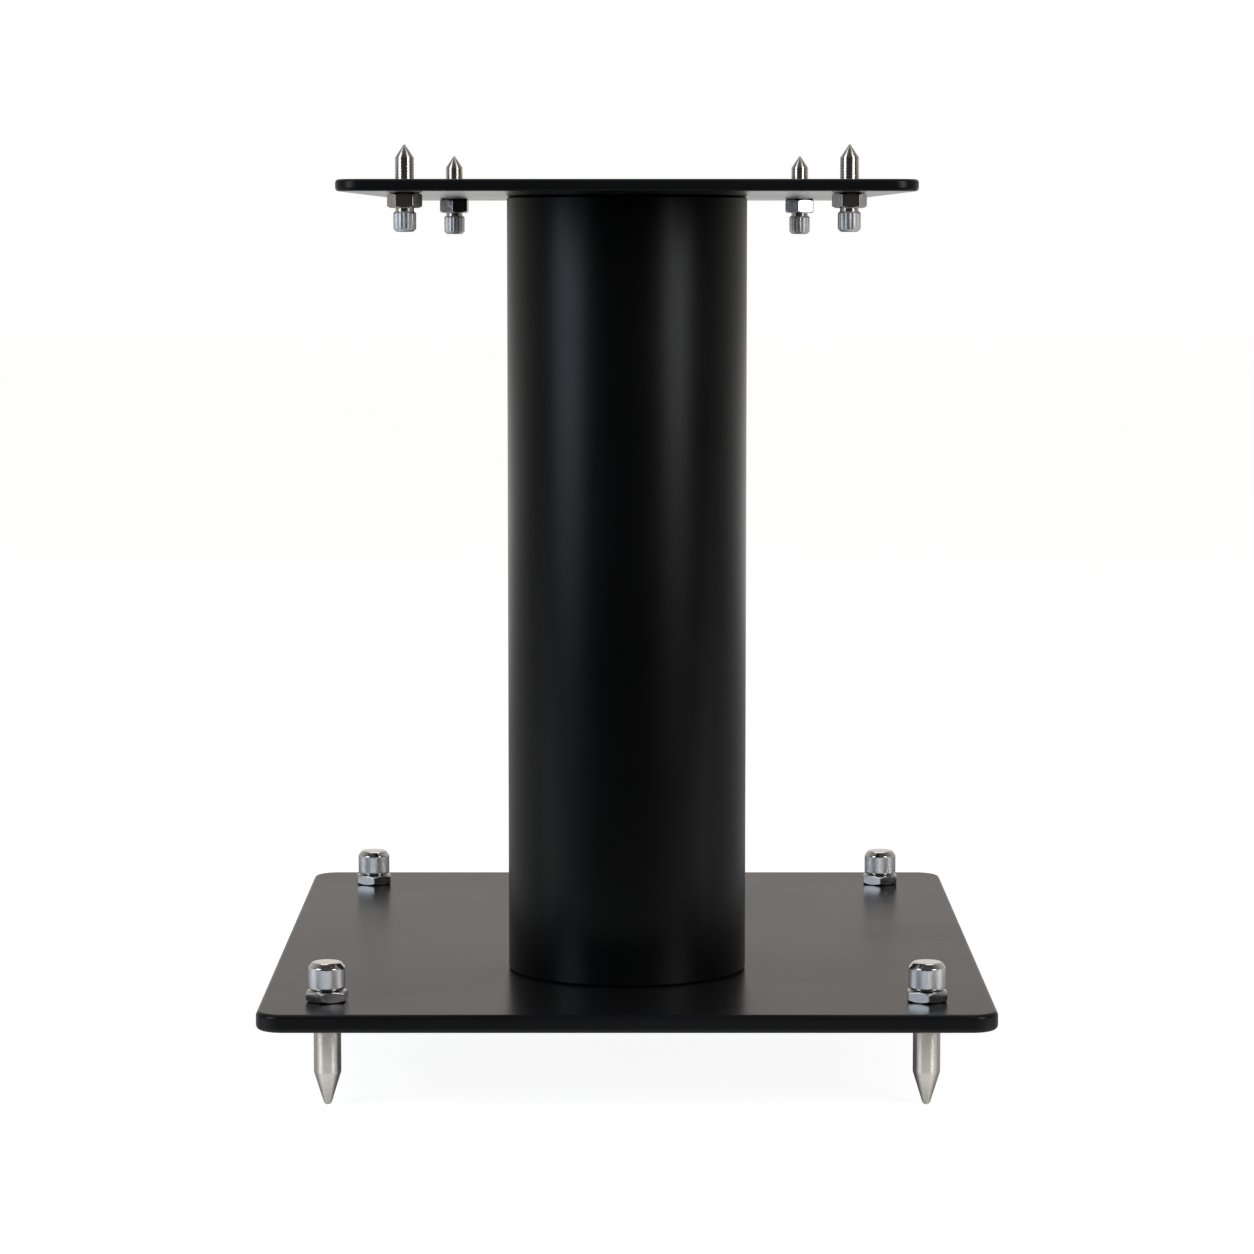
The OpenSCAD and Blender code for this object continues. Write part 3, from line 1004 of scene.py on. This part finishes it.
def screw_mesh(name, length):
    """A screw with its head's face at height 0."""
    rings = [
        (0, -KEY_DEPTH - KEY_DRILL_POINT),
        hexagon(KEY_FLATS, lambda radius: -KEY_DEPTH),
        hexagon(KEY_FLATS, lambda radius: -KEY_MOUTH_DEPTH),
        (KEY_FLATS / 2 + KEY_MOUTH_WIDTH, -HEAD_SUNK),
        (SCREW_HEAD_R - HEAD_RIM_WIDTH, -HEAD_SUNK),
        (SCREW_HEAD_R - HEAD_RIM_DROP, -HEAD_RIM_DROP),
        (SCREW_R, -screw_sink),
        (SCREW_R, SCREW_END - length),
        (SCREW_R - SCREW_END, -length),
        (0, -length),
    ]
    return skin(name, rings, NUT_STEPS)


print("key socket:", round(KEY_FLATS / MM), "mm across flats")

# %% Plate screws
FIRST_STOP = 0.4
NEXT_STOP = 1.3


def place_screws(node, face, flip):
    """Puts the four screws of a plate in their holes, each stopped at its own turn in radians."""
    low, high = levels_of(node)
    single = screw_mesh(f"{node}_single", high - low)
    placings = []
    for number, place in enumerate(screw_places):
        turn = Matrix.Rotation(FIRST_STOP + NEXT_STOP * number, 4, "Z")
        placing = Matrix.Translation(place + face) @ turn
        placings.append(placing @ upside_down if flip else placing)
    mesh = shade(gathered(f"{node}_set", single, placings), sharp_degrees=30)
    place_piece(f"{node}_black", mesh, black_screws, node, STAND_BODY)


place_screws("base_plate_screws", lower_face, flip=True)
place_screws("top_plate_screws", upper_face, flip=False)
print("screws:", 2 * len(screw_places))

# %% [markdown]
# ## Flanges
#
# The flanges are welded inside the tube and never seen. Their shape in the frame is already right,
# so they keep it and only get the finish of bare steel.

# %% Flanges
for name in ("column_bottom_flange", "column_top_flange"):
    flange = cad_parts[name]
    flange.data.materials.clear()
    flange.data.materials.append(bare_steel)
print("flanges in", bare_steel.name)

# %% [markdown]
# ## The studio
#
# The photograph is a product shot on white. Black steel only shows its shape through what it
# mirrors, so the room matters: it is bright behind the stand, which greys the base plate at its low
# angle, and dark in front, which keeps the column black. Two tall lamps at the sides draw the two
# soft stripes down the column. The camera sees plain white everywhere behind the stand.

# %% Floor
FLOOR_SIZE = 30.0

floor_form = bmesh.new()
bmesh.ops.create_grid(floor_form, x_segments=1, y_segments=1, size=FLOOR_SIZE / 2)
floor_mesh = bpy.data.meshes.new("floor")
floor_form.to_mesh(floor_mesh)
floor_form.free()
floor = bpy.data.objects.new("floor", floor_mesh)
bpy.context.scene.collection.objects.link(floor)
print("floor:", FLOOR_SIZE, "m square")

# %% [markdown]
# The floor has two looks. To the camera it is white paper, mostly its own glow, with just enough of a
# matt share to keep the stand's shadow. To every other ray it is plain paper, pale from a hand's
# width ahead of the base plate backwards and nearly black further ahead, as if the sheet ended there.
# Rays that bounce off a glossy surface also see a gleam on it: a strip from ahead of the base plate
# to just under its front edge, and the bright sweep far behind. Plain paper alone could do, but the
# gleam lightens the floor spikes, the column's two edges and the underside of the top plate, and
# puts no more light on anything matt.

# %% Floor material
FLOOR_PALE = 0.85
FLOOR_DARK = 0.03
FLOOR_SHADOW_SHARE = 0.3
FLOOR_GLOW = 0.93
FRONT_EDGE = (-0.37, -0.28)
GLEAM_FROM = -1.0
GLEAM_TO = 4.0
GLEAM_LEVELS = [(-0.37, 0.0), (-0.29, 0.6), (-0.158, 0.6), (-0.148, 0.0), (1.2, 0.1), (2.4, 1.0)]


def link_all(tree, pairs):
    """Joins sockets pair by pair."""
    for start, end in pairs:
        tree.links.new(start, end)


floor_finish = bpy.data.materials.new("floor_white")
floor_finish.use_nodes = True
tree = floor_finish.node_tree
tree.nodes.remove(tree.nodes["Principled BSDF"])
output = tree.nodes["Material Output"]
path = tree.nodes.new("ShaderNodeLightPath")
coords = tree.nodes.new("ShaderNodeTexCoord")
place = tree.nodes.new("ShaderNodeSeparateXYZ")
tree.links.new(coords.outputs["Object"], place.inputs[0])
paper_level = spread(tree, place.outputs["Y"], *FRONT_EDGE, FLOOR_DARK, FLOOR_PALE)
paper = tree.nodes.new("ShaderNodeBsdfDiffuse")
along = spread(tree, place.outputs["Y"], GLEAM_FROM, GLEAM_TO, 0, 1)
gleam_level = stepped(tree, along, [
    ((spot - GLEAM_FROM) / (GLEAM_TO - GLEAM_FROM), level) for spot, level in GLEAM_LEVELS])
gleam_seen = tree.nodes.new("ShaderNodeMath")
gleam_seen.operation = "MULTIPLY"
gleam = tree.nodes.new("ShaderNodeEmission")
mirrored = tree.nodes.new("ShaderNodeAddShader")
shadowed = tree.nodes.new("ShaderNodeBsdfDiffuse")
shadowed.inputs["Color"].default_value = (FLOOR_SHADOW_SHARE, FLOOR_SHADOW_SHARE, FLOOR_SHADOW_SHARE, 1)
glow = tree.nodes.new("ShaderNodeEmission")
glow.inputs["Strength"].default_value = FLOOR_GLOW
seen = tree.nodes.new("ShaderNodeAddShader")
choose = tree.nodes.new("ShaderNodeMixShader")
link_all(tree, [
    (paper_level, paper.inputs["Color"]),
    (path.outputs["Is Glossy Ray"], gleam_seen.inputs[0]),
    (gleam_level, gleam_seen.inputs[1]),
    (gleam_seen.outputs[0], gleam.inputs["Strength"]),
    (paper.outputs[0], mirrored.inputs[0]),
    (gleam.outputs[0], mirrored.inputs[1]),
    (shadowed.outputs[0], seen.inputs[0]),
    (glow.outputs[0], seen.inputs[1]),
    (path.outputs["Is Camera Ray"], choose.inputs["Fac"]),
    (mirrored.outputs[0], choose.inputs[1]),
    (seen.outputs[0], choose.inputs[2]),
    (choose.outputs[0], output.inputs["Surface"]),
])
floor_mesh.materials.append(floor_finish)
print("the camera sees", FLOOR_GLOW, "of white and", FLOOR_SHADOW_SHARE, "of a matt grey")

# %% [markdown]
# The room is the world's background. Walls and reflectors could be built instead, but one smooth ramp
# gives the same soft reflections. Its level depends only on how far a direction points to the front
# or the back, from a dim front to a bright back wall, and its tint is slightly warm. The camera sees
# plain white instead.

# %% Room
ROOM_LEVELS = [(0.0, 0.055), (0.35, 0.055), (0.5, 0.18), (0.72, 0.35), (0.9, 0.42), (1.0, 0.72)]
ROOM_TINT = (1.0, 0.94, 0.90)

world = bpy.data.worlds.new("studio_room")
bpy.context.scene.world = world
world.use_nodes = True
tree = world.node_tree
tree.nodes.clear()
output = tree.nodes.new("ShaderNodeOutputWorld")
path = tree.nodes.new("ShaderNodeLightPath")
coords = tree.nodes.new("ShaderNodeTexCoord")
parts = tree.nodes.new("ShaderNodeSeparateXYZ")
tree.links.new(coords.outputs["Generated"], parts.inputs[0])
depth = spread(tree, parts.outputs["Y"], -1, 1, 0, 1)
room_level = stepped(tree, depth, ROOM_LEVELS, ROOM_TINT)
room = tree.nodes.new("ShaderNodeBackground")
plain = tree.nodes.new("ShaderNodeBackground")
plain.inputs["Color"].default_value = (1, 1, 1, 1)
choose = tree.nodes.new("ShaderNodeMixShader")
link_all(tree, [
    (room_level, room.inputs["Color"]),
    (path.outputs["Is Camera Ray"], choose.inputs["Fac"]),
    (room.outputs[0], choose.inputs[1]),
    (plain.outputs[0], choose.inputs[2]),
    (choose.outputs[0], output.inputs["Surface"]),
])
print("room levels from", ROOM_LEVELS[0][1], "to", ROOM_LEVELS[-1][1])

# %% [markdown]
# Each lamp is given by its radiance, the level at which a mirror would show it, because that level is
# what the stripes on the column show. Its power follows from that and its size.

# %% Lamps
COOL_LIGHT = (0.79, 0.885, 1.0)
DAY_LIGHT = (0.98, 0.99, 1.0)
PANEL_PLACE = (0, 0.35, 1.9)


def softbox(name, radiance, width, height, light=(1, 1, 1)):
    """A rectangular lamp that faces down until it is turned."""
    lamp = bpy.data.lights.new(name, "AREA")
    lamp.shape = "RECTANGLE"
    lamp.size = width
    lamp.size_y = height
    lamp.energy = radiance * math.pi * width * height
    lamp.color = light
    holder = bpy.data.objects.new(name, lamp)
    bpy.context.scene.collection.objects.link(holder)
    return holder


def face_column(holder, azimuth, distance, level):
    """Stands a lamp round the column. Azimuth 0 is in front and positive angles are to the right."""
    angle = math.radians(azimuth)
    away = Vector((math.sin(angle), -math.cos(angle), 0))
    holder.location = COLUMN_AXIS + away * distance + Vector((0, 0, level))
    holder.rotation_euler = away.to_track_quat("Z", "Y").to_euler()


left_lamp = softbox("left_softbox", radiance=3.9, width=0.8, height=1.5, light=COOL_LIGHT)
face_column(left_lamp, azimuth=-57, distance=1.7, level=0.95)
right_lamp = softbox("right_softbox", radiance=5.4, width=0.65, height=1.1, light=DAY_LIGHT)
face_column(right_lamp, azimuth=48, distance=1.7, level=0.87)
panel = softbox("overhead_panel", radiance=1.1, width=1.6, height=1.1)
panel.location = PANEL_PLACE
print("lamps:", len(bpy.data.lights))

# %% [markdown]
# ## The camera
#
# The photograph looks straight at the stand from just below the height of its top plate, at a
# distance of about 1.8 m, and a little downwards. A long lens keeps the plates' sides from spreading
# too far.

# %% Camera
CAMERA_AHEAD = 1.7705
CAMERA_HEIGHT = 0.3715
CAMERA_TILT = 5.47
LENS = 112.4

camera_data = bpy.data.cameras.new("camera")
camera_data.lens = LENS
camera_data.sensor_width = 36
camera_data.clip_end = 100
camera = bpy.data.objects.new("camera", camera_data)
camera.location = COLUMN_AXIS + Vector((0, -CAMERA_AHEAD, CAMERA_HEIGHT))
camera.rotation_euler = (math.radians(90 - CAMERA_TILT), 0, 0)
bpy.context.scene.collection.objects.link(camera)
bpy.context.scene.camera = camera
bpy.context.scene.view_settings.view_transform = "Standard"
print("camera", CAMERA_AHEAD, "m ahead of the column")
